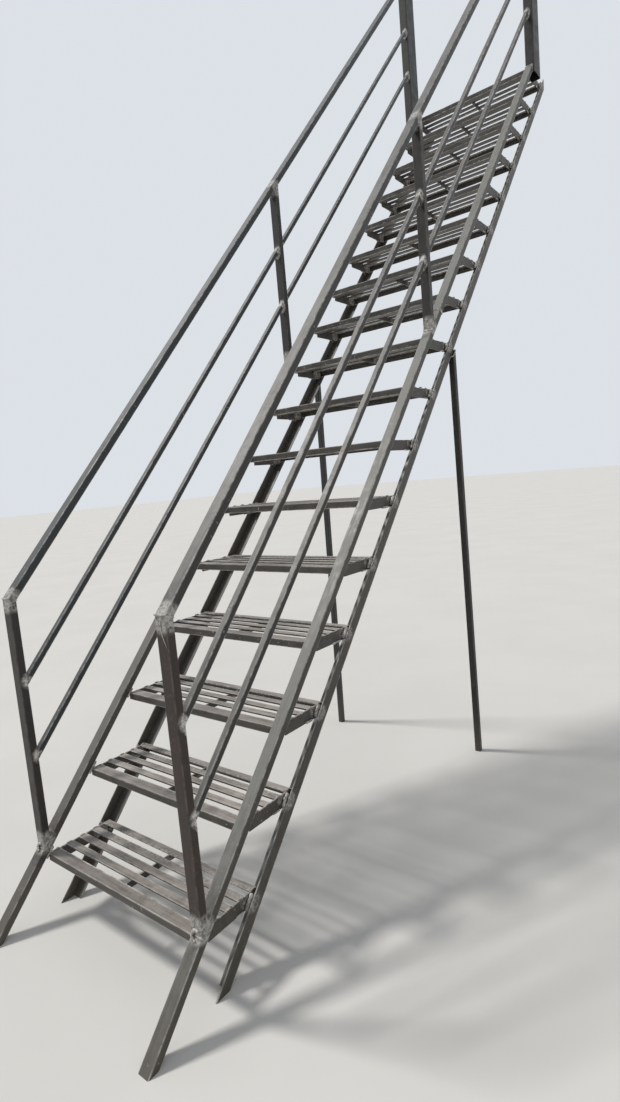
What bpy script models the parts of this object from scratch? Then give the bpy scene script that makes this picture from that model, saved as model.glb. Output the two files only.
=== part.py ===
"""Straight welded steel fire escape stair with a railing on each side.

World frame: X across the flight, Y along the going (up the stair is +Y), Z up, metres.
The origin is at the top, in the middle of the top tread's back face, where the wall holds the stair.
"""
import math

import bmesh
import bpy
from mathutils import Matrix, Vector

# Flight
TREAD_COUNT = 17
RISE = 0.203
GOING_LENGTH = 0.1815
FIRST_TREAD_TOP = 0.194
CLEAR_WIDTH = 0.690
WELD_GAP = 0.0003

# Rectangular tube of the upper chords, handrails, posts and nosings
TUBE_WIDE = 0.038
TUBE_THIN = 0.025
TUBE_WALL = 0.002
TUBE_CORNER = 0.003

# Square tubes
RAIL_SIDE = 0.019
RAIL_WALL = 0.0015
RAIL_CORNER = 0.002
LEG_SIDE = 0.025
LEG_WALL = 0.002
LEG_CORNER = 0.003

# Angle iron of the lower chords
ANGLE_LEG = 0.038
ANGLE_THICK = 0.003
ANGLE_CLEARANCE = 0.0145

# Tread
CHORD_OVERLAP = 0.002
SLAT_COUNT = 3
SLAT_WIDE = 0.025
SLAT_THICK = 0.005
SLAT_GAP = 0.021
CENTRE_BAR_HIGH = 0.020
END_BAR_HIGH = 0.038
BACK_ANGLE_LEG = 0.025
BACK_ANGLE_THICK = 0.003
WELD_SINK = 0.0005

# Railing
MID_POST_TREAD = 9
HANDRAIL_ABOVE_CHORD = 0.535
UPPER_RAIL_ABOVE_CHORD = 0.338
LOWER_RAIL_ABOVE_CHORD = 0.177

# Large tubes beside the top tread, which the chords and railings end on
TOP_POST_WIDE = 0.050
TOP_POST_DEEP = 0.100
TOP_POST_WALL = 0.002
TOP_POST_CORNER = 0.005
TOP_POST_AHEAD = 0.046
TOP_POST_CAP = 0.002
TOP_POST_ABOVE_HANDRAIL = 0.010

# Legs under the lower chords
LEG_SPLAY = 0.0206

CORNER_SEGMENTS = 2

# Directions of the slope
SLOPE = Vector((0.0, GOING_LENGTH, RISE)).normalized()
NORMAL = Vector((0.0, -RISE, GOING_LENGTH)).normalized()
ACROSS = Vector((1.0, 0.0, 0.0))
UP = Vector((0.0, 0.0, 1.0))
BACK = Vector((0.0, 1.0, 0.0))

# Places measured from the line of the tread front edges, square to the slope
CHORD_BOTTOM = -CHORD_OVERLAP
CHORD_TOP = CHORD_BOTTOM + TUBE_THIN
HANDRAIL_TOP = CHORD_TOP + HANDRAIL_ABOVE_CHORD
TREAD_DEPTH = TUBE_WIDE + SLAT_COUNT * (SLAT_GAP + SLAT_WIDE) + SLAT_GAP + BACK_ANGLE_LEG
FLAT_SEAT = -SLAT_THICK + WELD_SINK
END_BAR_TOP = -WELD_SINK
END_BAR_BACK = TREAD_DEPTH - BACK_ANGLE_THICK / 2
TREAD_LOW_BACK = Vector((0.0, TREAD_DEPTH, -BACK_ANGLE_LEG)).dot(NORMAL)
ANGLE_SEAT = TREAD_LOW_BACK - WELD_GAP
CHORD_INNER_X = CLEAR_WIDTH / 2
CHORD_CENTRE_X = CHORD_INNER_X + TUBE_WIDE / 2
ANGLE_OUTER_X = CHORD_INNER_X + ANGLE_CLEARANCE + ANGLE_THICK
LEG_HEAD_X = ANGLE_OUTER_X - ANGLE_THICK / 2
TOP_POST_CENTRE_X = CHORD_INNER_X + TOP_POST_WIDE / 2
TREAD_HALF_WIDTH = CHORD_INNER_X - WELD_GAP


def along_slope(y, offset):
    """Height over the ground at distance y on the line that lies offset above the tread edges."""
    return FIRST_TREAD_TOP + (offset * math.hypot(GOING_LENGTH, RISE) + RISE * y) / GOING_LENGTH


def ground_reach(offset):
    """Distance y at which the line that lies offset above the tread edges meets the ground."""
    return -(FIRST_TREAD_TOP * GOING_LENGTH + offset * math.hypot(GOING_LENGTH, RISE)) / RISE


TOP_TREAD_Y = (TREAD_COUNT - 1) * GOING_LENGTH
WALL_Y = TOP_TREAD_Y + TREAD_DEPTH
MID_POST_Y = (MID_POST_TREAD - 1) * GOING_LENGTH
TOP_POST_FRONT_Y = TOP_TREAD_Y - TOP_POST_AHEAD
TOP_POST_CENTRE_Y = TOP_POST_FRONT_Y + TOP_POST_DEEP / 2
LEG_Y = MID_POST_Y + TREAD_DEPTH - LEG_SIDE / 2
ORIGIN_Y = WALL_Y
ORIGIN_Z = along_slope(TOP_TREAD_Y, 0.0) - BACK_ANGLE_LEG / 2


def place(x, y, z):
    """A point of the stair, given from the first tread's front edge and the ground, moved to the origin."""
    return Vector((x, y - ORIGIN_Y, z - ORIGIN_Z))


def clear_scene():
    for obj in list(bpy.data.objects):
        bpy.data.objects.remove(obj, do_unlink=True)


def make_material(name, colour, roughness, metallic):
    material = bpy.data.materials.new(name)
    material.use_nodes = True
    shader = material.node_tree.nodes["Principled BSDF"]
    shader.inputs["Base Color"].default_value = (*colour, 1.0)
    shader.inputs["Roughness"].default_value = roughness
    shader.inputs["Metallic"].default_value = metallic
    return material


def rounded_rectangle(width, height, radius):
    """Outline points of a rectangle centred on the origin, with round corners."""
    if radius == 0.0:
        return [(-width / 2, -height / 2), (width / 2, -height / 2),
                (width / 2, height / 2), (-width / 2, height / 2)]
    points = []
    for quarter, (sx, sy) in enumerate(((1, 1), (-1, 1), (-1, -1), (1, -1))):
        centre = (sx * (width / 2 - radius), sy * (height / 2 - radius))
        for step in range(CORNER_SEGMENTS + 1):
            angle = math.radians(90 * quarter + 90 * step / CORNER_SEGMENTS)
            points.append((centre[0] + radius * math.cos(angle), centre[1] + radius * math.sin(angle)))
    return points


def tube_section(width, height, wall, radius):
    """Outer and inner outline of a rectangular tube."""
    return [rounded_rectangle(width, height, radius),
            rounded_rectangle(width - 2 * wall, height - 2 * wall, 0.0)]


def extrude_section(name, loops, length):
    """Mesh of a flat outline, holes included, drawn out along Z from 0 to length."""
    curve = bpy.data.curves.new(name, "CURVE")
    curve.dimensions = "2D"
    curve.fill_mode = "BOTH"
    curve.extrude = length / 2
    for loop in loops:
        spline = curve.splines.new("POLY")
        spline.points.add(len(loop) - 1)
        for point, (x, y) in zip(spline.points, loop):
            point.co = (x, y, 0.0, 1.0)
        spline.use_cyclic_u = True
    guide = bpy.data.objects.new(name, curve)
    bpy.context.scene.collection.objects.link(guide)
    bpy.context.view_layer.update()
    evaluated = guide.evaluated_get(bpy.context.evaluated_depsgraph_get())
    mesh = bpy.data.meshes.new_from_object(evaluated)
    bpy.data.objects.remove(guide)
    bpy.data.curves.remove(curve)
    work = bmesh.new()
    work.from_mesh(mesh)
    bmesh.ops.remove_doubles(work, verts=work.verts, dist=0.00001)
    bmesh.ops.translate(work, verts=work.verts, vec=(0.0, 0.0, length / 2))
    bmesh.ops.recalc_face_normals(work, faces=work.faces)
    work.to_mesh(mesh)
    work.free()
    return mesh


def bar(name, loops, start, end, face, start_cut=None, end_cut=None):
    """A straight bar from start to end. face is the direction of the section's Y.

    Each cut is the normal of the plane, through start or end, that the bar is sawn off along.
    """
    axis = (end - start).normalized()
    length = (end - start).length
    section_y = (face - axis * face.dot(axis)).normalized()
    section_x = section_y.cross(axis)
    turn = Matrix((section_x, section_y, axis)).transposed()
    mesh = extrude_section(name, loops, length)
    for vertex in mesh.vertices:
        at_start = vertex.co.z < length / 2
        cut = start_cut if at_start else end_cut
        if cut is None:
            continue
        normal = turn.transposed() @ cut
        anchor = Vector((0.0, 0.0, 0.0 if at_start else length))
        vertex.co.z -= (vertex.co - anchor).dot(normal) / normal.z
    mesh.name = name
    obj = bpy.data.objects.new(name, mesh)
    obj.matrix_world = Matrix.Translation(start) @ turn.to_4x4()
    return obj


def add(collection, obj, material):
    obj.data.materials.clear()
    obj.data.materials.append(material)
    collection.objects.link(obj)
    return obj


def box_object(name, low, high):
    """A plain box between two corners."""
    mesh = bpy.data.meshes.new(name)
    work = bmesh.new()
    bmesh.ops.create_cube(work, size=1.0)
    size = Vector(high) - Vector(low)
    bmesh.ops.scale(work, vec=size, verts=work.verts)
    bmesh.ops.translate(work, verts=work.verts, vec=(Vector(low) + Vector(high)) / 2)
    work.to_mesh(mesh)
    work.free()
    obj = bpy.data.objects.new(name, mesh)
    bpy.context.scene.collection.objects.link(obj)
    return obj


def join_by_union(name, base, others):
    """One closed mesh of several overlapping solids."""
    for other in others:
        modifier = base.modifiers.new("weld", "BOOLEAN")
        modifier.operation = "UNION"
        modifier.solver = "EXACT"
        modifier.object = other
    bpy.context.view_layer.update()
    evaluated = base.evaluated_get(bpy.context.evaluated_depsgraph_get())
    mesh = bpy.data.meshes.new_from_object(evaluated)
    mesh.name = name
    mesh.transform(base.matrix_world)
    for obj in [base, *others]:
        bpy.data.objects.remove(obj, do_unlink=True)
    return mesh


def end_bar(inner_x, front):
    """A deep flat bar across a tread's end. Its lower back corner is cut to the lower chord's slope."""
    low = END_BAR_TOP - END_BAR_HIGH
    cut_from = TREAD_DEPTH - (-BACK_ANGLE_LEG - low) * GOING_LENGTH / RISE
    cut_to = -BACK_ANGLE_LEG - (TREAD_DEPTH - END_BAR_BACK) * RISE / GOING_LENGTH
    outline = [(front, low), (cut_from, low), (END_BAR_BACK, cut_to), (END_BAR_BACK, END_BAR_TOP),
               (front, END_BAR_TOP)]
    flat = bar("end_bar", [outline], ACROSS * inner_x, ACROSS * (inner_x + SLAT_THICK), UP)
    bpy.context.scene.collection.objects.link(flat)
    return flat


def tread_mesh():
    """A welded tread: nosing tube, flat slats between deep end bars, a centre bar and a back angle.

    Its own origin is the middle of the front top edge.
    """
    half = TREAD_HALF_WIDTH
    nosing_start = Vector((-half, TUBE_WIDE / 2, -TUBE_THIN / 2))
    nosing_end = Vector((half, TUBE_WIDE / 2, -TUBE_THIN / 2))
    nosing = bar("nosing", tube_section(TUBE_WIDE, TUBE_THIN, TUBE_WALL, TUBE_CORNER),
                 nosing_start, nosing_end, UP)
    bpy.context.scene.collection.objects.link(nosing)
    back_face = TREAD_DEPTH - BACK_ANGLE_THICK
    pieces = []
    for slat in range(SLAT_COUNT):
        front = TUBE_WIDE + SLAT_GAP + slat * (SLAT_WIDE + SLAT_GAP)
        pieces.append(box_object("slat", (WELD_SINK - half, front, -SLAT_THICK),
                                 (half - WELD_SINK, front + SLAT_WIDE, 0.0)))
    bar_front = TUBE_WIDE - TUBE_WALL / 2
    pieces.extend(end_bar(x, bar_front) for x in (-half, half - SLAT_THICK))
    pieces.append(box_object("centre_bar", (-SLAT_THICK / 2, bar_front, FLAT_SEAT - CENTRE_BAR_HIGH),
                             (SLAT_THICK / 2, END_BAR_BACK, FLAT_SEAT)))
    top_leg = box_object("back_top", (-half, TREAD_DEPTH - BACK_ANGLE_LEG, -BACK_ANGLE_THICK),
                         (half, TREAD_DEPTH, 0.0))
    back_leg = box_object("back_leg", (-half, back_face, -BACK_ANGLE_LEG), (half, TREAD_DEPTH, 0.0))
    pieces.extend((top_leg, back_leg))
    return join_by_union("tread", nosing, pieces)


def build_treads(collection, material):
    mesh = tread_mesh()
    mesh.materials.clear()
    mesh.materials.append(material)
    for number in range(TREAD_COUNT):
        obj = bpy.data.objects.new(f"tread_{number + 1:02d}", mesh)
        obj.location = place(0.0, number * GOING_LENGTH, FIRST_TREAD_TOP + number * RISE)
        collection.objects.link(obj)


def slope_point(x, y, offset):
    """A point on the line that lies offset above the tread edges."""
    return place(x, y, along_slope(y, offset))


def build_chords(collection, material):
    for side, word in ((-1, "left"), (1, "right")):
        offset = (CHORD_TOP + CHORD_BOTTOM) / 2
        upper = bar(f"upper_chord_{word}", tube_section(TUBE_WIDE, TUBE_THIN, TUBE_WALL, TUBE_CORNER),
                    slope_point(side * CHORD_CENTRE_X, ground_reach(offset), offset),
                    slope_point(side * CHORD_CENTRE_X, TOP_POST_FRONT_Y - WELD_GAP, offset),
                    NORMAL, start_cut=UP, end_cut=BACK)
        add(collection, upper, material)
        add(collection, lower_chord(f"lower_chord_{word}", side), material)


def lower_chord(name, side):
    """Angle iron behind the treads: one leg upright outside, one across their back corners."""
    low = ANGLE_SEAT - ANGLE_THICK
    corners = ((0.0, 0.0), (ANGLE_LEG, 0.0), (ANGLE_LEG, ANGLE_THICK), (ANGLE_THICK, ANGLE_THICK),
               (ANGLE_THICK, ANGLE_LEG), (0.0, ANGLE_LEG))
    outline = [(side * inward, height) for inward, height in corners]
    start = slope_point(side * ANGLE_OUTER_X, ground_reach(low), low)
    end = slope_point(side * ANGLE_OUTER_X, WALL_Y, low)
    return bar(name, [outline], start, end, NORMAL, start_cut=UP, end_cut=BACK)


def handrail_corner(side):
    """Middle of the mitre between a bottom post and its handrail, and the normal of that cut."""
    x = side * CHORD_CENTRE_X
    outer = slope_point(x, -TUBE_THIN / 2, HANDRAIL_TOP)
    inner = slope_point(x, TUBE_THIN / 2, HANDRAIL_TOP - TUBE_THIN)
    return (outer + inner) / 2, (outer - inner).cross(ACROSS).normalized()


def build_posts(collection, material):
    """Upright tubes on the upper chords. The bottom ones are mitred to the handrails."""
    section = tube_section(TUBE_WIDE, TUBE_THIN, TUBE_WALL, TUBE_CORNER)
    seat = CHORD_TOP + WELD_GAP
    for side, word in ((-1, "left"), (1, "right")):
        x = side * CHORD_CENTRE_X
        corner, mitre = handrail_corner(side)
        bottom = bar(f"bottom_post_{word}", section, slope_point(x, 0.0, seat), corner - UP * WELD_GAP,
                     -BACK, start_cut=NORMAL, end_cut=mitre)
        add(collection, bottom, material)
        head = slope_point(x, MID_POST_Y, HANDRAIL_TOP - TUBE_THIN - WELD_GAP)
        middle = bar(f"mid_post_{word}", section, slope_point(x, MID_POST_Y, seat), head,
                     -BACK, start_cut=NORMAL, end_cut=NORMAL)
        add(collection, middle, material)
        add(collection, top_post(f"top_post_{word}", side), material)


def top_post(name, side):
    """A large tube beside the top tread, open below, level with the chord, and closed by a plate above."""
    x = side * TOP_POST_CENTRE_X
    foot = place(x, TOP_POST_CENTRE_Y, along_slope(TOP_POST_FRONT_Y, CHORD_BOTTOM))
    head = place(x, TOP_POST_CENTRE_Y, along_slope(TOP_POST_FRONT_Y, HANDRAIL_TOP) + TOP_POST_ABOVE_HANDRAIL)
    section = tube_section(TOP_POST_WIDE, TOP_POST_DEEP, TOP_POST_WALL, TOP_POST_CORNER)
    tube = bar(f"{name}_tube", section, foot, head, -BACK)
    cap_outline = rounded_rectangle(TOP_POST_WIDE, TOP_POST_DEEP, TOP_POST_CORNER)
    cap = bar(f"{name}_cap", [cap_outline], head - UP * TOP_POST_CAP, head, -BACK)
    for piece in (tube, cap):
        bpy.context.scene.collection.objects.link(piece)
    return bpy.data.objects.new(name, join_by_union(name, tube, [cap]))


def build_handrails(collection, material):
    section = tube_section(TUBE_WIDE, TUBE_THIN, TUBE_WALL, TUBE_CORNER)
    for side, word in ((-1, "left"), (1, "right")):
        start, mitre = handrail_corner(side)
        end = slope_point(side * CHORD_CENTRE_X, TOP_POST_FRONT_Y - WELD_GAP, HANDRAIL_TOP - TUBE_THIN / 2)
        rail = bar(f"handrail_{word}", section, start, end, NORMAL, start_cut=mitre, end_cut=BACK)
        add(collection, rail, material)


def build_mid_rails(collection, material):
    """Square rails, cut between the posts."""
    section = tube_section(RAIL_SIDE, RAIL_SIDE, RAIL_WALL, RAIL_CORNER)
    reach = TUBE_THIN / 2 + WELD_GAP
    spans = (("low", reach, MID_POST_Y - reach), ("high", MID_POST_Y + reach, TOP_POST_FRONT_Y - WELD_GAP))
    heights = (("upper", UPPER_RAIL_ABOVE_CHORD), ("lower", LOWER_RAIL_ABOVE_CHORD))
    for side, word in ((-1, "left"), (1, "right")):
        for level, height in heights:
            for part, from_y, to_y in spans:
                offset = CHORD_TOP + height
                x = side * CHORD_CENTRE_X
                rail = bar(f"{level}_rail_{part}_{word}", section, slope_point(x, from_y, offset),
                           slope_point(x, to_y, offset), NORMAL, start_cut=BACK, end_cut=BACK)
                add(collection, rail, material)


def build_legs(collection, material):
    """Square legs under the lower chords, a little splayed towards the ground."""
    section = tube_section(LEG_SIDE, LEG_SIDE, LEG_WALL, LEG_CORNER)
    for side, word in ((-1, "left"), (1, "right")):
        head = slope_point(side * LEG_HEAD_X, LEG_Y, ANGLE_SEAT - ANGLE_THICK - WELD_GAP)
        foot = place(side * (LEG_HEAD_X + LEG_SPLAY), LEG_Y, 0.0)
        leg = bar(f"leg_{word}", section, foot, head, -BACK, start_cut=UP, end_cut=NORMAL)
        add(collection, leg, material)


def build():
    clear_scene()
    stair = bpy.data.collections.new("fire_escape_stair")
    bpy.context.scene.collection.children.link(stair)
    chord_paint = make_material("chord_paint", (0.115, 0.112, 0.105), 0.5, 0.35)
    tread_paint = make_material("tread_paint", (0.14, 0.13, 0.118), 0.6, 0.3)
    rail_paint = make_material("rail_paint", (0.07, 0.062, 0.056), 0.5, 0.35)
    build_treads(stair, tread_paint)
    build_chords(stair, chord_paint)
    build_posts(stair, rail_paint)
    build_handrails(stair, rail_paint)
    build_mid_rails(stair, rail_paint)
    build_legs(stair, chord_paint)


build()
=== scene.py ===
import math
import random
from collections import namedtuple

import bmesh
import bpy
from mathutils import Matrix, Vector, noise


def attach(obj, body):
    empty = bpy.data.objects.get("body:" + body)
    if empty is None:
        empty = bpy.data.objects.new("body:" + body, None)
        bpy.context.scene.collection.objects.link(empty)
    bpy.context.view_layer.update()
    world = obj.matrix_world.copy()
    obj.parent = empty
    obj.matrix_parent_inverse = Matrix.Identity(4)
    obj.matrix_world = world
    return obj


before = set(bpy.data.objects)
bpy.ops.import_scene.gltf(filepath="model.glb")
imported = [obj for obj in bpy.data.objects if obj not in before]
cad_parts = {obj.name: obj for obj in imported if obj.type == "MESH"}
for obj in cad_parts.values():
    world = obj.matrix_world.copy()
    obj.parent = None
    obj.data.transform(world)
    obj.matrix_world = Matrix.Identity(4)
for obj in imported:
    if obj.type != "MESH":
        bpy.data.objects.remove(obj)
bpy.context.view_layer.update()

# Sizes of the stair in metres, the same as in the CAD source
TREAD_COUNT = 17
RISE = 0.203
GOING = 0.1815
FIRST_TREAD_TOP = 0.194
ORIGIN_Y = 3.126
ORIGIN_Z = 3.4295
CHORD_INNER_X = 0.345
TUBE_WIDE = 0.038
TUBE_THIN = 0.025
CHORD_X = CHORD_INNER_X + TUBE_WIDE / 2
CHORD_LOW = -0.002
CHORD_TOP = 0.023
HANDRAIL_TOP = 0.558
UPPER_RAIL = CHORD_TOP + 0.338
LOWER_RAIL = CHORD_TOP + 0.177
RAIL_SIDE = 0.019
TREAD_DEPTH = 0.222
TREAD_HIGH = 0.025
SLAT_WIDE = 0.025
SLAT_GAP = 0.021
MID_POST_Y = 8 * GOING
TOP_TREAD_Y = (TREAD_COUNT - 1) * GOING
TOP_POST_FRONT = TOP_TREAD_Y - 0.046
TOP_POST_WIDE = 0.050
TOP_POST_DEEP = 0.100
TOP_POST_X = CHORD_INNER_X + TOP_POST_WIDE / 2
ANGLE_OUTER_X = 0.3625
ANGLE_SIDE = 0.038
ANGLE_LOW = -0.1855
LEG_SIDE = 0.025
LEG_Y = MID_POST_Y + TREAD_DEPTH - LEG_SIDE / 2
LEG_HEAD_X = 0.361
SPLICE_Y = 1.5295
# Where the nosing, the slats and the back angle begin, behind the tread's front edge
BAR_STARTS = [0.0] + [TUBE_WIDE + SLAT_GAP + k * (SLAT_WIDE + SLAT_GAP) for k in range(4)]
# The share of those bars' ends that have weld on top
WELDED_SHARE = 0.85
# Behind the tread's front edge and above its top: the middle of the weld at its back corner, and the ends
CORNER_WELD = (0.186, -0.016)
CORNER_WELD_LOW = (0.170, -0.031)
CORNER_WELD_HIGH = (0.197, 0.0)
# Across and up, along the run of weld metal on the front of the right bottom post
DRIP = ((0.3665, 1.004), (0.3650, 0.985), (0.3660, 0.970),
        (0.3710, 0.958), (0.3755, 0.949), (0.3775, 0.941))

SLOPE = Vector((0.0, GOING, RISE)).normalized()
NORMAL = Vector((0.0, -RISE, GOING)).normalized()
ACROSS = Vector((1.0, 0.0, 0.0))
BACK = Vector((0.0, 1.0, 0.0))
UP = Vector((0.0, 0.0, 1.0))

# The camera that was solved from the photo
CAMERA_PLACE = (1.5066, -4.01418, -2.12956)
CAMERA_TURN = (83.2506, 4.8954, 37.6026)
CAMERA_LENS = 20.206417
FLOOR_HALF = 60.0
# The key light shines from here towards the origin
KEY_FROM = (-0.52, -0.22, 0.83)

# Distance between the points of a weld bead, its sides, its ripple, its flatness and its cut corners
BEAD_STEP = 0.0016
BEAD_SIDES = 7
BEAD_RIPPLE = 0.0032
BEAD_FLAT = 0.8
BEAD_CORNER = 0.002

# A group of bare and scorched spots: their middles, their reach, the colour of the pale metal, the share
# that is kept on faces turned to the front, and how many times taller than wide they are
Scar = namedtuple("Scar", "points outer pale front tall", defaults=(1.0, 1.0))


def slope_point(x, y, offset):
    """A point on the line that lies offset above the tread edges, at distance y up the stair."""
    height = FIRST_TREAD_TOP + (offset * math.hypot(GOING, RISE) + RISE * y) / GOING
    return Vector((x, y - ORIGIN_Y, height - ORIGIN_Z))


def make_camera():
    data = bpy.data.cameras.new("camera")
    data.lens = CAMERA_LENS
    data.clip_end = 200.0
    camera = bpy.data.objects.new("camera", data)
    camera.location = CAMERA_PLACE
    camera.rotation_euler = [math.radians(angle) for angle in CAMERA_TURN]
    bpy.context.scene.collection.objects.link(camera)
    bpy.context.scene.camera = camera


class Finish:
    """A procedural material while it is put together."""

    def __init__(self, name):
        self.material = bpy.data.materials.new(name)
        self.material.use_nodes = True
        self.tree = self.material.node_tree
        self.shader = self.tree.nodes["Principled BSDF"]
        self.place = self.tree.nodes.new("ShaderNodeTexCoord").outputs["Object"]
        self.x, self.y, self.z = self.split(self.place)
        self.mirror_x = self.math("ABSOLUTE", self.x, 0.0)
        facing = self.tree.nodes.new("ShaderNodeNewGeometry").outputs["Normal"]
        _, self.face_y, self.face_z = self.split(facing)

    def split(self, vector):
        node = self.tree.nodes.new("ShaderNodeSeparateXYZ")
        self.tree.links.new(vector, node.inputs[0])
        return node.outputs

    def join(self, x, y, z):
        node = self.tree.nodes.new("ShaderNodeCombineXYZ")
        for socket, value in zip(node.inputs, (x, y, z)):
            self.put(socket, value)
        return node.outputs[0]

    def put(self, socket, value):
        if isinstance(value, bpy.types.NodeSocket):
            self.tree.links.new(value, socket)
        elif isinstance(value, tuple) and len(value) == 3 and socket.type == "RGBA":
            socket.default_value = (*value, 1.0)
        else:
            socket.default_value = value

    def noise(self, scale, detail=4.0, rough=0.55, stretch=(1.0, 1.0, 1.0), turn=0.0, offset=0.0):
        """Noise about 0.5, stretched and turned about the X axis; offset makes a pattern of its own."""
        mapping = self.tree.nodes.new("ShaderNodeMapping")
        mapping.vector_type = "TEXTURE"
        self.put(mapping.inputs["Vector"], self.place)
        mapping.inputs["Location"].default_value = (offset, offset * 0.7, offset * 1.3)
        mapping.inputs["Rotation"].default_value = (turn, 0.0, 0.0)
        mapping.inputs["Scale"].default_value = stretch
        node = self.tree.nodes.new("ShaderNodeTexNoise")
        self.put(node.inputs["Vector"], mapping.outputs[0])
        node.inputs["Scale"].default_value = scale
        node.inputs["Detail"].default_value = detail
        node.inputs["Roughness"].default_value = rough
        return node.outputs["Fac"]

    def level(self, value, low, high, to_low=0.0, to_high=1.0):
        """The value, brought smoothly from low..high to to_low..to_high."""
        node = self.tree.nodes.new("ShaderNodeMapRange")
        node.interpolation_type = "SMOOTHSTEP"
        self.put(node.inputs["Value"], value)
        for name, number in zip(("From Min", "From Max", "To Min", "To Max"), (low, high, to_low, to_high)):
            node.inputs[name].default_value = number
        return node.outputs["Result"]

    def math(self, operation, a, b):
        node = self.tree.nodes.new("ShaderNodeMath")
        node.operation = operation
        self.put(node.inputs[0], a)
        self.put(node.inputs[1], b)
        return node.outputs[0]

    def add(self, a, b):
        return self.math("ADD", a, b)

    def less(self, a, b):
        return self.math("SUBTRACT", a, b)

    def times(self, a, b):
        return self.math("MULTIPLY", a, b)

    def mix(self, share, a, b):
        node = self.tree.nodes.new("ShaderNodeMix")
        node.data_type = "RGBA"
        self.put(node.inputs["Factor"], share)
        self.put(node.inputs["A"], a)
        self.put(node.inputs["B"], b)
        return node.outputs["Result"]

    def bump(self, height, distance, strength=1.0, under=None):
        node = self.tree.nodes.new("ShaderNodeBump")
        node.inputs["Distance"].default_value = distance
        node.inputs["Strength"].default_value = strength
        self.put(node.inputs["Height"], height)
        if under is not None:
            self.put(node.inputs["Normal"], under)
        return node.outputs["Normal"]

    def slope_offset(self, centre):
        """Distance, square to the slope, from the line that lies centre above the tread edges."""
        base = slope_point(0.0, 0.0, centre).dot(NORMAL)
        flat = self.add(self.times(self.y, NORMAL.y), self.times(self.z, NORMAL.z))
        return self.less(flat, base)

    def inside(self, value, half):
        """Depth of a point inside a pair of faces that lie half on each side of zero."""
        return self.less(half, self.math("ABSOLUTE", value, 0.0))

    def edge(self, u, v):
        """1 at the arrises of a bar whose face depths are u and v, 0 on its flats."""
        return self.level(self.math("MAXIMUM", u, v), 0.0042, 0.0010)

    def near(self, points, inner, outer, tall=1.0):
        """1 around each point, on both sides of the stair, and 0 further off than outer.

        Upward, both distances are tall times as long.
        """
        folded = self.join(self.mirror_x, self.y, self.times(self.z, 1.0 / tall))
        closest = None
        for point in points:
            node = self.tree.nodes.new("ShaderNodeVectorMath")
            node.operation = "DISTANCE"
            self.put(node.inputs[0], folded)
            node.inputs[1].default_value = (point.x, point.y, point.z / tall)
            distance = node.outputs["Value"]
            closest = distance if closest is None else self.math("MINIMUM", closest, distance)
        return self.level(closest, outer, inner)


SLOPE_TURN = math.atan2(RISE, GOING)
# Stretch and turn of the streaks, by the way that a bar runs
STREAK = {
    "slope": ((1.0, 14.0, 1.0), SLOPE_TURN),
    "upright": ((1.0, 1.0, 12.0), 0.0),
    "across": ((14.0, 1.0, 1.0), 0.0),
}
RUST = (0.088, 0.047, 0.029)
SOIL = (0.098, 0.082, 0.062)
SOOT = (0.022, 0.018, 0.016)


def bare_metal(finish, mask, colour, wear_and_highlight, share, ragged, bright, dull, pale):
    """Ragged bare metal over colour where mask is 1; returns the new colour and the new mask of wear and
    painted highlight.
    """
    mask = finish.times(mask, finish.level(finish.noise(62.0, 6.0, 0.72, offset=9.0), *ragged))
    spots = finish.level(finish.noise(105.0, 5.0, 0.65, offset=11.0), *bright)
    colour = finish.mix(finish.times(mask, share), colour, finish.mix(spots, dull, pale))
    return colour, finish.math("MAXIMUM", wear_and_highlight, mask)


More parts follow.
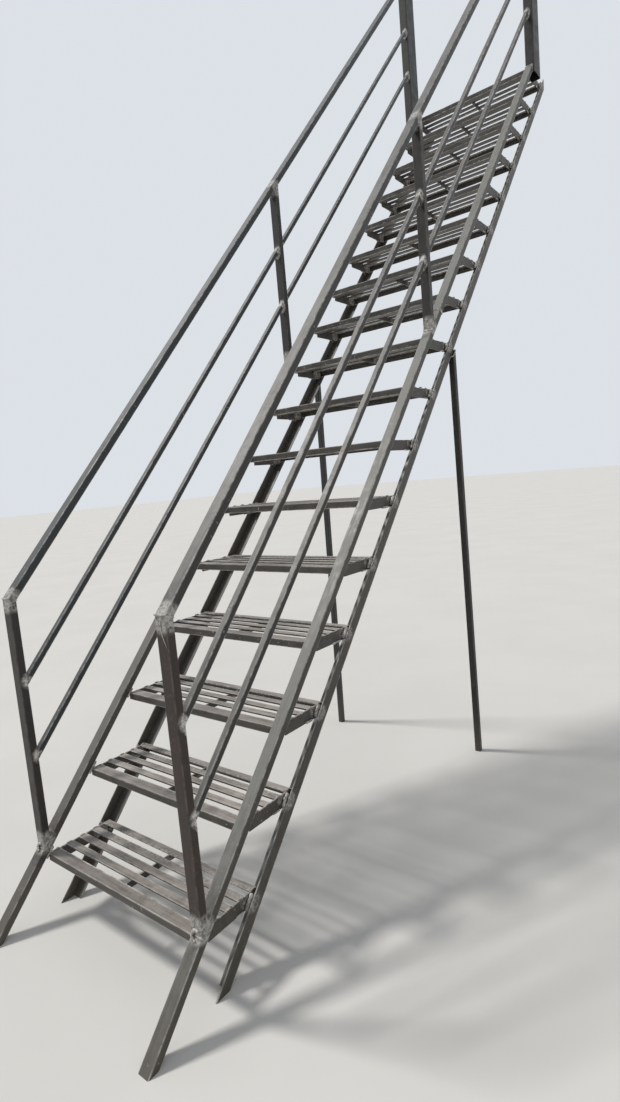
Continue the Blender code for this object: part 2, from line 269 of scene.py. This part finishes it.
def old_paint(name, run, dark, light, dust, dust_most, rust_most, chip_and_highlight, edges=None, scars=(),
              thin_dust=0.42, dust_rough=0.82, paler=None, left=None, corners=False):
    """Old brush-painted steel: streaks along the bar, rust in patches, dust on top, and pale arrises that
    are partly wear and partly painted highlight lines.

    dark and light are the paint's two tones, chip the pale metal under it, which also paints the highlight
    lines on the arrises, left a tint and its share for the left side, paler a mask of where the dust is
    paler, edges a mask of the arrises, scars the spots at the joints, and corners says whether the treads'
    corner welds mark the piece.
    """
    finish = Finish(name)
    stretch, turn = STREAK[run]
    broad = finish.noise(3.1, 3.0, 0.5)
    patches = finish.noise(21.0, 6.0, 0.62, offset=3.1)
    streaks = finish.noise(115.0, 4.0, 0.6, stretch=stretch, turn=turn, offset=0.7)
    grain = finish.noise(330.0, 3.0, 0.6)
    tone = finish.add(finish.times(patches, 0.6), finish.times(streaks, 0.4))
    colour = finish.mix(finish.level(tone, 0.38, 0.62), dark, light)
    colour = finish.mix(finish.level(grain, 0.45, 0.8, 0.0, 0.30), colour, tuple(c * 1.9 for c in light))
    rust = finish.level(finish.noise(30.0, 8.0, 0.7, offset=5.2), 0.55, 0.70, 0.0, rust_most)
    colour = finish.mix(rust, colour, RUST)
    upward = finish.level(finish.face_z, 0.30, 0.72)
    settled = finish.add(finish.times(patches, 0.45), finish.times(streaks, 0.55))
    settled = finish.level(settled, 0.36, 0.60, thin_dust, 1.0)
    settled = finish.times(settled, finish.level(broad, 0.25, 0.7, 0.78, 1.0))
    settled = finish.times(settled, finish.level(finish.z, 0.02 - ORIGIN_Z, 0.42 - ORIGIN_Z, 0.56, 1.0))
    dusty = finish.times(finish.times(upward, settled), dust_most)
    if paler is not None:
        dust = finish.mix(paler(finish), dust, tuple(c * 1.32 for c in dust))
    colour = finish.mix(dusty, colour, dust)
    if left is not None:
        tint, share = left
        colour = finish.mix(finish.level(finish.x, 0.1, -0.1, 0.0, share), colour, tint)
    uneven_height = finish.add(finish.z, finish.times(patches, 0.16))
    soil = finish.level(uneven_height, 0.32 - ORIGIN_Z, 0.02 - ORIGIN_Z, 0.0, 0.55)
    colour = finish.mix(soil, colour, SOIL)
    specks = finish.level(finish.noise(75.0, 3.0, 0.55, offset=2.0), 0.655, 0.70)
    wear_and_highlight = finish.times(specks, finish.level(broad, 0.42, 0.62, 0.0, 0.8))
    colour = finish.mix(wear_and_highlight, colour, tuple(c * 0.65 for c in chip_and_highlight))
    if edges is not None:
        # Pale metal along the arrises: partly wear, partly painted highlight lines where the edges catch the
        # light.
        rubbed_and_highlit = finish.level(finish.noise(26.0, 6.0, 0.7, offset=6.0), 0.36, 0.62, 0.12, 0.95)
        rubbed_and_highlit = finish.times(edges(finish), rubbed_and_highlit)
        colour = finish.mix(rubbed_and_highlit, colour, chip_and_highlight)
        wear_and_highlight = finish.math("MAXIMUM", wear_and_highlight, rubbed_and_highlit)
    for scar in scars:
        soot = finish.near(scar.points, scar.outer * 0.8, scar.outer * 2.2, scar.tall)
        smoky = finish.level(finish.noise(24.0, 4.0, 0.6, offset=4.0), 0.42, 0.6, 0.0, 0.6)
        colour = finish.mix(finish.times(soot, smoky), colour, SOOT)
        bare = finish.near(scar.points, scar.outer * 0.62, scar.outer, scar.tall)
        bare = finish.times(bare, finish.level(finish.face_y, -0.9, -0.6, scar.front, 1.0))
        colour, wear_and_highlight = bare_metal(finish, bare, colour, wear_and_highlight, share=0.88, ragged=(0.33, 0.50),
                                  bright=(0.40, 0.57), dull=(0.27, 0.255, 0.235), pale=scar.pale)
    if corners:
        colour, wear_and_highlight = bare_metal(finish, tread_corner(finish), colour, wear_and_highlight, share=0.8, ragged=(0.36, 0.52),
                                  bright=(0.42, 0.60), dull=(0.20, 0.185, 0.17), pale=(0.48, 0.46, 0.44))
    finish.put(finish.shader.inputs["Base Color"], colour)
    paint_rough = finish.level(patches, 0.3, 0.75, 0.40, 0.60)
    rough = finish.math("MAXIMUM", paint_rough, finish.level(dusty, 0.0, 0.8, 0.0, dust_rough))
    finish.put(finish.shader.inputs["Roughness"], rough)
    relief = finish.bump(patches, 0.0012, 0.45)
    relief = finish.bump(streaks, 0.0005, 0.45, relief)
    relief = finish.bump(grain, 0.0003, 0.5, relief)
    relief = finish.bump(wear_and_highlight, 0.0004, 0.7, relief)
    finish.put(finish.shader.inputs["Normal"], relief)
    return finish.material


def chord_edges(centre):
    """Arrises of the chords or handrails whose middle line lies centre above the tread edges."""
    def edges(finish):
        u = finish.inside(finish.less(finish.mirror_x, CHORD_X), TUBE_WIDE / 2)
        return finish.edge(u, finish.inside(finish.slope_offset(centre), TUBE_THIN / 2))
    return edges


def rail_edges(centre):
    """Arrises of the mid rails whose middle line lies centre above the tread edges."""
    def edges(finish):
        u = finish.inside(finish.less(finish.mirror_x, CHORD_X), RAIL_SIDE / 2)
        return finish.edge(u, finish.inside(finish.slope_offset(centre), RAIL_SIDE / 2))
    return edges


def post_edges(x, y, half_x, half_y):
    """Upright arrises of the posts whose middle stands at x and y."""
    def edges(finish):
        u = finish.inside(finish.less(finish.mirror_x, x), half_x)
        return finish.edge(u, finish.inside(finish.less(finish.y, y - ORIGIN_Y), half_y))
    return edges


def angle_edges(finish):
    """Arrises of the lower chords: the corner and the lips of the two legs, whose pale lines are partly wear
    and partly painted highlight.
    """
    out = finish.less(ANGLE_OUTER_X, finish.mirror_x)
    up = finish.slope_offset(ANGLE_LOW)
    corner = finish.edge(out, up)
    upright_lip = finish.edge(out, finish.less(ANGLE_SIDE, up))
    flat_lip = finish.edge(finish.less(ANGLE_SIDE, out), up)
    return finish.math("MAXIMUM", corner, finish.math("MAXIMUM", upright_lip, flat_lip))


def tread_place(finish):
    """Distances of a point behind the front edge of the tread next to it, and above its top."""
    low = FIRST_TREAD_TOP - ORIGIN_Z - RISE / 2
    number = finish.math("FLOOR", finish.math("DIVIDE", finish.less(finish.z, low), RISE), 0.0)
    from_front = finish.less(finish.add(finish.y, ORIGIN_Y), finish.times(number, GOING))
    above = finish.less(finish.z, finish.add(FIRST_TREAD_TOP - ORIGIN_Z, finish.times(number, RISE)))
    return from_front, above


def on_slats(finish):
    """1 on the slats and the back angle of each tread, 0 on its nosing."""
    return finish.math("GREATER_THAN", tread_place(finish)[0], TUBE_WIDE + SLAT_GAP / 2)


def tread_corner(finish):
    """1 where each tread's back corner is welded to the lower chord, 0 further off."""
    from_front, above = tread_place(finish)
    back, down = finish.less(from_front, CORNER_WELD[0]), finish.less(above, CORNER_WELD[1])
    apart = finish.math("SQRT", finish.add(finish.times(back, back), finish.times(down, down)), 0.0)
    return finish.level(apart, 0.034, 0.020)


def tread_edges(finish):
    """Arrises along the nosing and the slats, found from each tread's own front edge; their pale lines are
    partly wear and partly painted highlight, strongest at the nosing's back and lower arrises.
    """
    from_front, above = tread_place(finish)
    from_top = finish.math("ABSOLUTE", above, 0.0)
    front = finish.edge(finish.math("ABSOLUTE", from_front, 0.0), from_top)
    nosing_low = finish.edge(finish.math("ABSOLUTE", from_front, 0.0), finish.less(TREAD_HIGH, from_top))
    from_back = finish.math("ABSOLUTE", finish.less(TUBE_WIDE, from_front), 0.0)
    nosing_back = finish.level(finish.math("MAXIMUM", from_back, from_top), 0.0075, 0.0028)
    slatted = finish.math("MODULO", finish.less(from_front, TUBE_WIDE + SLAT_GAP), SLAT_WIDE + SLAT_GAP)
    from_slat_back = finish.math("ABSOLUTE", finish.less(slatted, SLAT_WIDE), 0.0)
    slat_edge = finish.edge(finish.math("MINIMUM", slatted, from_slat_back), from_top)
    slats = finish.times(slat_edge, finish.math("GREATER_THAN", from_front, TUBE_WIDE + SLAT_GAP / 2))
    made = finish.math("MAXIMUM", finish.times(front, 0.4), finish.times(nosing_low, 0.9))
    return finish.math("MAXIMUM", made, finish.math("MAXIMUM", nosing_back, finish.times(slats, 0.6)))


def weld_metal():
    """Unpainted weld: pale grey, brown in the hollows."""
    finish = Finish("weld_metal")
    coarse = finish.noise(60.0, 5.0, 0.6)
    fine = finish.noise(420.0, 4.0, 0.6)
    colour = finish.mix(finish.level(coarse, 0.38, 0.60), (0.21, 0.19, 0.17), (0.58, 0.56, 0.53))
    colour = finish.mix(finish.level(fine, 0.5, 0.75, 0.0, 0.6), colour, (0.62, 0.60, 0.57))
    finish.put(finish.shader.inputs["Base Color"], colour)
    finish.shader.inputs["Metallic"].default_value = 0.15
    finish.put(finish.shader.inputs["Roughness"], finish.level(coarse, 0.3, 0.7, 0.62, 0.45))
    finish.put(finish.shader.inputs["Normal"], finish.bump(fine, 0.0006, 0.6))
    return finish.material


def floor_material():
    finish = Finish("floor_plain")
    tone = finish.noise(1.3, 5.0, 0.6)
    colour = finish.mix(finish.level(tone, 0.3, 0.7), (0.70, 0.69, 0.665), (0.73, 0.72, 0.695))
    finish.put(finish.shader.inputs["Base Color"], colour)
    finish.shader.inputs["Roughness"].default_value = 0.9
    finish.shader.inputs["Specular IOR Level"].default_value = 0.2
    return finish.material


def resample(points, step, closed):
    """The same line with a point about every step."""
    line = list(points) + ([points[0]] if closed else [])
    made = []
    for start, end in zip(line, line[1:]):
        count = max(1, round((end - start).length / step))
        made.extend(start.lerp(end, i / count) for i in range(count))
    if not closed:
        made.append(line[-1])
    return made


def sweep_bead(work, points, radius, closed, rng, flat_axis):
    """Adds a rippled weld bead along a line of points to the bmesh, flatter along flat_axis."""
    path = resample(points, BEAD_STEP, closed)
    count, sides = len(path), BEAD_SIDES
    phase = rng.uniform(0.0, math.tau)
    rings = []
    travelled = 0.0
    for i, centre in enumerate(path):
        before = path[i - 1] if i or closed else centre
        after = path[(i + 1) % count] if i < count - 1 or closed else centre
        along = (after - before).normalized()
        side = (flat_axis - along * flat_axis.dot(along)).normalized()
        other = along.cross(side)
        travelled += (centre - before).length
        size = radius * (1.0 + 0.16 * math.sin(travelled * math.tau / BEAD_RIPPLE + phase))
        size *= 1.0 + 0.30 * noise.noise(centre * 140.0 + Vector((phase, 0.0, 0.0)))
        if not closed:
            size *= min(1.0, 0.45 + 0.4 * min(i, count - 1 - i))
        ring = []
        for k in range(sides):
            angle = math.tau * k / sides
            bump = 1.0 + 0.12 * noise.noise(centre * 300.0 + Vector((0.0, angle, phase)))
            spoke = side * math.cos(angle) * BEAD_FLAT + other * math.sin(angle)
            ring.append(work.verts.new(centre + spoke * size * bump))
        rings.append(ring)
    for i in range(count if closed else count - 1):
        low, high = rings[i], rings[(i + 1) % count]
        for k in range(sides):
            work.faces.new((low[k], low[(k + 1) % sides], high[(k + 1) % sides], high[k]))
    if not closed:
        work.faces.new(list(reversed(rings[0])))
        work.faces.new(rings[-1])


def add_piece(name, work, material):
    """Makes the bmesh a smooth piece of the stair that rides on root and takes material as its finish."""
    bmesh.ops.recalc_face_normals(work, faces=work.faces)
    mesh = bpy.data.meshes.new(name)
    work.to_mesh(mesh)
    work.free()
    for face in mesh.polygons:
        face.use_smooth = True
    mesh.materials.append(material)
    obj = bpy.data.objects.new(name, mesh)
    bpy.context.scene.collection.objects.link(obj)
    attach(obj, "root")


def outline(half_u, half_v, corner):
    """Corner points of a rectangle with cut corners."""
    points = []
    for su, sv, first in ((1, 1, True), (-1, 1, False), (-1, -1, True), (1, -1, False)):
        a = (su * half_u, sv * (half_v - corner))
        b = (su * (half_u - corner), sv * half_v)
        points.extend((a, b) if first else (b, a))
    return points


def cut_loop(anchor, u, v, axis, cut, half_u, half_v):
    """The line round a bar where a plane through anchor, square to cut, cuts it.

    The bar runs along axis and reaches half_u along u and half_v along v to each side.
    """
    points = []
    for a, b in outline(half_u, half_v, BEAD_CORNER):
        flat = u * a + v * b
        points.append(anchor + flat - axis * (flat.dot(cut) / axis.dot(cut)))
    return points


def tread_welds(side, rng):
    """The beads at one end of every tread: on its chords, on its bars' ends and at its back corner."""
    work = bmesh.new()
    for number in range(TREAD_COUNT):
        y = number * GOING
        # Beside the nosing, under the upper chord
        edge = slope_point(side * (CHORD_INNER_X + 0.0005), y, CHORD_LOW - 0.001)
        bead = [edge - SLOPE * rng.uniform(0.012, 0.018), edge + SLOPE * rng.uniform(0.022, 0.034)]
        sweep_bead(work, bead, rng.uniform(0.0034, 0.0048), False, rng, ACROSS)
        # Under the back angle, on the lower chord's flange
        corner = slope_point(0.0, y, 0.0) + BACK * (TREAD_DEPTH - 0.006) - UP * (TREAD_HIGH + 0.004)
        low_x = side * (ANGLE_OUTER_X - ANGLE_SIDE + 0.001)
        high_x = side * (CHORD_INNER_X - 0.001)
        bead = [corner + ACROSS * low_x, corner + ACROSS * high_x]
        sweep_bead(work, bead, rng.uniform(0.0032, 0.0044), False, rng, SLOPE)
        for start in BAR_STARTS:
            wide = TUBE_WIDE if start == 0.0 else SLAT_WIDE
            end = slope_point(side * (CHORD_INNER_X - rng.uniform(0.002, 0.004)), y, 0.0)
            first, last = rng.uniform(0.002, 0.007), wide - rng.uniform(0.002, 0.007)
            size = rng.uniform(0.0026, 0.0046)
            if rng.random() < WELDED_SHARE:
                bead = [end + BACK * (start + first), end + BACK * (start + last)]
                sweep_bead(work, bead, size, False, rng, ACROSS)
        # Between the tread's end and the lower chord's upright leg, then under the end flat
        front = slope_point(side * (CHORD_INNER_X + 0.0070), y, 0.0)
        low, high = (front + BACK * back + UP * up for back, up in (CORNER_WELD_LOW, CORNER_WELD_HIGH))
        jog = BACK * rng.uniform(-0.003, 0.003) + UP * rng.uniform(-0.003, 0.003)
        bead = [low - jog, (low + high) / 2 + jog, high - jog * 0.5]
        sweep_bead(work, bead, rng.uniform(0.0066, 0.0084), False, rng, ACROSS)
        under = slope_point(side * (CHORD_INNER_X + 0.0004), y, 0.0) - UP * 0.0375
        bead = [under + BACK * rng.uniform(0.118, 0.140), under + BACK * 0.164]
        sweep_bead(work, bead, rng.uniform(0.0026, 0.0040), False, rng, ACROSS)
    return work


def post_welds(side, rng):
    """The beads round the ends of one side's bottom and mid post, and by the bottom post's rails."""
    work = bmesh.new()
    x = side * CHORD_X
    half_x, half_y = TUBE_WIDE / 2 + 0.0006, TUBE_THIN / 2 + 0.0006
    for y in (0.0, MID_POST_Y):
        foot = slope_point(x, y, CHORD_TOP + 0.0008)
        loop = cut_loop(foot, ACROSS, BACK, UP, NORMAL, half_x - 0.0015, half_y)
        sweep_bead(work, loop, 0.0032, True, rng, NORMAL)
    head = slope_point(x, MID_POST_Y, HANDRAIL_TOP - TUBE_THIN - 0.0008)
    loop = cut_loop(head, ACROSS, BACK, UP, NORMAL, half_x - 0.0015, half_y)
    sweep_bead(work, loop, 0.0026, True, rng, NORMAL)
    outer = slope_point(x, -TUBE_THIN / 2, HANDRAIL_TOP)
    inner = slope_point(x, TUBE_THIN / 2, HANDRAIL_TOP - TUBE_THIN)
    middle, along = (outer + inner) / 2, (outer - inner).normalized()
    mitre = [middle + ACROSS * a * (TUBE_WIDE / 2) + along * b * ((outer - inner).length / 2)
             for a, b in ((1, 1), (-1, 1), (-1, -1), (1, -1))]
    sweep_bead(work, mitre, 0.0022, True, rng, along.cross(ACROSS))
    # A ragged arc on the upper chord's front edge, below the post
    rim = slope_point(side * (CHORD_X - 0.001), -TUBE_THIN / 2 - 0.004, CHORD_TOP + 0.006)
    lean = (NORMAL - BACK * 0.6).normalized()
    ring_up = lean.cross(ACROSS).normalized()
    arc = [rim + (ACROSS * math.cos(a) + ring_up * math.sin(a)) * rng.uniform(0.0085, 0.0130)
           for a in (0.9 + 0.42 * k for k in range(11))]
    sweep_bead(work, arc, 0.0042, False, rng, lean)
    for tall in (UPPER_RAIL, LOWER_RAIL):
        low = slope_point(side * (CHORD_X + TUBE_WIDE / 2 - 0.002), TUBE_THIN / 2 - 0.004, tall)
        bead = [low - UP * rng.uniform(0.020, 0.026), low + UP * rng.uniform(0.016, 0.024)]
        sweep_bead(work, bead, 0.0036, False, rng, ACROSS)
    return work


def rail_welds(side, rng):
    """The rings round the ends of one side's mid rails, and of its handrail and chord at the top post."""
    work = bmesh.new()
    x = side * CHORD_X
    half = RAIL_SIDE / 2 + 0.0004
    reach = TUBE_THIN / 2
    for offset in (UPPER_RAIL, LOWER_RAIL):
        for y in (reach, MID_POST_Y - reach, MID_POST_Y + reach, TOP_POST_FRONT):
            loop = cut_loop(slope_point(x, y, offset), ACROSS, NORMAL, SLOPE, BACK, half, half)
            sweep_bead(work, loop, rng.uniform(0.0016, 0.0022), True, rng, BACK)
    for low, high in ((HANDRAIL_TOP - TUBE_THIN, HANDRAIL_TOP), (CHORD_LOW, CHORD_TOP)):
        end = slope_point(x, TOP_POST_FRONT - 0.0006, (low + high) / 2)
        loop = cut_loop(end, ACROSS, NORMAL, SLOPE, BACK, TUBE_WIDE / 2, TUBE_THIN / 2)
        sweep_bead(work, loop, 0.0028, True, rng, BACK)
    return work


def chord_repair(rng):
    """The weld where the right upper chord is spliced, and a run of metal down its bottom post."""
    work = bmesh.new()
    splice = slope_point(CHORD_X, SPLICE_Y, (CHORD_LOW + CHORD_TOP) / 2)
    for shift, size in ((0.0, 0.0030), (0.006, 0.0024)):
        loop = cut_loop(splice + SLOPE * shift, ACROSS, NORMAL, SLOPE, SLOPE, TUBE_WIDE / 2, TUBE_THIN / 2)
        sweep_bead(work, loop, size, True, rng, SLOPE)
    face = -TUBE_THIN / 2 - 0.0004 - ORIGIN_Y
    drip = [Vector((x, face, z - ORIGIN_Z)) for x, z in DRIP]
    sweep_bead(work, drip, 0.0013, False, rng, ACROSS)
    return work


def leg_welds(side, rng):
    """The bead round the head of one leg."""
    work = bmesh.new()
    head = slope_point(side * LEG_HEAD_X, LEG_Y, ANGLE_LOW - 0.0008)
    loop = cut_loop(head, ACROSS, BACK, UP, NORMAL, LEG_SIDE / 2 - 0.001, LEG_SIDE / 2 + 0.0004)
    sweep_bead(work, loop, 0.0030, True, rng, NORMAL)
    return work


def rail_ends(apart):
    """Points on the right mid rails' middle lines, apart from the posts' faces, the upper rail's first."""
    reach = TUBE_THIN / 2 + apart
    return [slope_point(CHORD_X, y, offset) for offset in (UPPER_RAIL, LOWER_RAIL)
            for y in (reach, MID_POST_Y - reach, MID_POST_Y + reach, TOP_POST_FRONT - apart)]


def post_ends():
    """Middle of each welded end of the right posts: the two feet, then the two heads."""
    x, half = CHORD_X, TUBE_THIN / 2
    return [slope_point(x, 0.0, CHORD_TOP), slope_point(x, MID_POST_Y, CHORD_TOP),
            slope_point(x, 0.0, HANDRAIL_TOP - half), slope_point(x, MID_POST_Y, HANDRAIL_TOP - TUBE_THIN)]


def finishes():
    """The finish of each node, by the start of its name."""
    rails, posts = rail_ends(0.0), post_ends()
    # Each chip colour is the bare metal at spots of wear and also the painted highlight along the arrises.
    post = {
        "dark": (0.0175, 0.0092, 0.0060), "light": (0.036, 0.0195, 0.0130), "chip_and_highlight": (0.125, 0.105, 0.088),
        "dust": (0.20, 0.18, 0.165), "dust_most": 0.8, "rust_most": 0.45,
        "left": ((0.026, 0.028, 0.026), 0.55),
    }
    upper_post = dict(post, dark=(0.0120, 0.0108, 0.0088), light=(0.026, 0.0238, 0.0200))
    leg = dict(post, dark=(0.0085, 0.0075, 0.0060), light=(0.018, 0.0160, 0.0132))
    rail = {
        "dark": (0.0130, 0.0118, 0.0104), "light": (0.030, 0.0280, 0.0250), "chip_and_highlight": (0.44, 0.43, 0.40),
        "dust": (0.190, 0.183, 0.171), "dust_most": 0.85, "rust_most": 0.40, "dust_rough": 0.52,
        "left": ((0.028, 0.036, 0.042), 0.76),
    }
    chord = {
        "dark": (0.042, 0.037, 0.029), "light": (0.080, 0.073, 0.059), "chip_and_highlight": (0.40, 0.40, 0.37),
        "dust": (0.220, 0.220, 0.206), "dust_most": 0.92, "rust_most": 0.35, "thin_dust": 0.60,
        "dust_rough": 0.60, "left": ((0.088, 0.076, 0.066), 0.58),
    }
    tread = {
        "dark": (0.038, 0.034, 0.029), "light": (0.080, 0.072, 0.062), "chip_and_highlight": (0.66, 0.64, 0.59),
        "dust": (0.385, 0.345, 0.315), "dust_most": 0.95, "rust_most": 0.4, "thin_dust": 0.50,
        "dust_rough": 0.46, "paler": on_slats,
    }
    grey, white = (0.50, 0.49, 0.455), (0.80, 0.76, 0.71)
    chord_feet, handrail_heads = Scar(posts[:2], 0.045, grey), Scar(posts[2:], 0.045, grey)
    post_joints = Scar(posts, 0.050, grey)
    rail_joints = Scar(rail_ends(0.006), 0.022, white, tall=1.7)
    side_joints = Scar(rail_ends(0.006), 0.037, white, front=0.0)
    wide, thin = TUBE_WIDE / 2, TUBE_THIN / 2
    return {
        "tread": old_paint("tread_old_paint", "across", **tread, edges=tread_edges, corners=True),
        "upper_chord": old_paint("chord_old_paint", "slope", **chord, scars=[chord_feet],
                                 edges=chord_edges((CHORD_LOW + CHORD_TOP) / 2)),
        "lower_chord": old_paint("angle_old_paint", "slope", **chord, edges=angle_edges, corners=True),
        "handrail": old_paint("handrail_old_paint", "slope", **rail, scars=[handrail_heads],
                              edges=chord_edges(HANDRAIL_TOP - thin)),
        "upper_rail": old_paint("upper_rail_old_paint", "slope", **rail, edges=rail_edges(UPPER_RAIL),
                                scars=[Scar(rails[:4], 0.026, white)]),
        "lower_rail": old_paint("lower_rail_old_paint", "slope", **rail, edges=rail_edges(LOWER_RAIL),
                                scars=[Scar(rails[4:], 0.026, white)]),
        "bottom_post": old_paint("bottom_post_old_paint", "upright", **post, scars=[side_joints, post_joints],
                                 edges=post_edges(CHORD_X, 0.0, wide, thin)),
        "mid_post": old_paint("mid_post_old_paint", "upright", **upper_post, scars=[rail_joints, post_joints],
                              edges=post_edges(CHORD_X, MID_POST_Y, wide, thin)),
        "top_post": old_paint("top_post_old_paint", "upright", **upper_post, scars=[rail_joints],
                              edges=post_edges(TOP_POST_X, TOP_POST_FRONT + TOP_POST_DEEP / 2,
                                               TOP_POST_WIDE / 2, TOP_POST_DEEP / 2)),
        "leg": old_paint("leg_old_paint", "upright", **leg),
    }


def dress_stair():
    """Gives every CAD node its finish and adds the welds."""
    by_start = finishes()
    for name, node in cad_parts.items():
        material = next(by_start[start] for start in by_start if name.startswith(start))
        for slot in node.material_slots:
            slot.link = "OBJECT"
            slot.material = material
    weld = weld_metal()
    for side, word in ((-1, "left"), (1, "right")):
        rng = random.Random(40 + side)
        add_piece(f"tread_welds_{word}", tread_welds(side, rng), weld)
        add_piece(f"post_welds_{word}", post_welds(side, rng), weld)
        add_piece(f"rail_welds_{word}", rail_welds(side, rng), weld)
        add_piece(f"leg_welds_{word}", leg_welds(side, rng), weld)
    add_piece("chord_repair_right", chord_repair(random.Random(7)), weld)


def make_stage():
    """The plain pale floor that the stair stands on."""
    mesh = bpy.data.meshes.new("floor")
    work = bmesh.new()
    bmesh.ops.create_grid(work, x_segments=1, y_segments=1, size=FLOOR_HALF)
    work.to_mesh(mesh)
    work.free()
    mesh.materials.append(floor_material())
    floor = bpy.data.objects.new("floor", mesh)
    floor.location.z = -ORIGIN_Z
    bpy.context.scene.collection.objects.link(floor)


def make_light():
    """Soft light from all round and from one wide lamp, before a pale backdrop."""
    world = bpy.data.worlds.new("studio")
    bpy.context.scene.world = world
    world.use_nodes = True
    nodes, links = world.node_tree.nodes, world.node_tree.links
    nodes.clear()
    out = nodes.new("ShaderNodeOutputWorld")
    light = nodes.new("ShaderNodeBackground")
    light.inputs["Color"].default_value = (0.93, 0.96, 1.0, 1.0)
    light.inputs["Strength"].default_value = 0.46
    seen = nodes.new("ShaderNodeBackground")
    seen.inputs["Color"].default_value = (0.72, 0.755, 0.80, 1.0)
    rays = nodes.new("ShaderNodeLightPath").outputs
    shown = rays["Is Camera Ray"]
    for kind in ("Is Glossy Ray", "Is Transmission Ray"):
        either = nodes.new("ShaderNodeMath")
        either.operation = "MAXIMUM"
        links.new(shown, either.inputs[0])
        links.new(rays[kind], either.inputs[1])
        shown = either.outputs[0]
    mix = nodes.new("ShaderNodeMixShader")
    links.new(shown, mix.inputs[0])
    links.new(light.outputs[0], mix.inputs[1])
    links.new(seen.outputs[0], mix.inputs[2])
    links.new(mix.outputs[0], out.inputs[0])
    sun = bpy.data.lights.new("key", "SUN")
    sun.energy = 2.1
    sun.angle = math.radians(9.0)
    sun.color = (1.0, 0.97, 0.92)
    lamp = bpy.data.objects.new("key", sun)
    lamp.rotation_euler = Vector(KEY_FROM).to_track_quat("Z", "Y").to_euler()
    bpy.context.scene.collection.objects.link(lamp)


make_camera()
make_stage()
make_light()
dress_stair()
bpy.context.scene.view_settings.view_transform = "Standard"
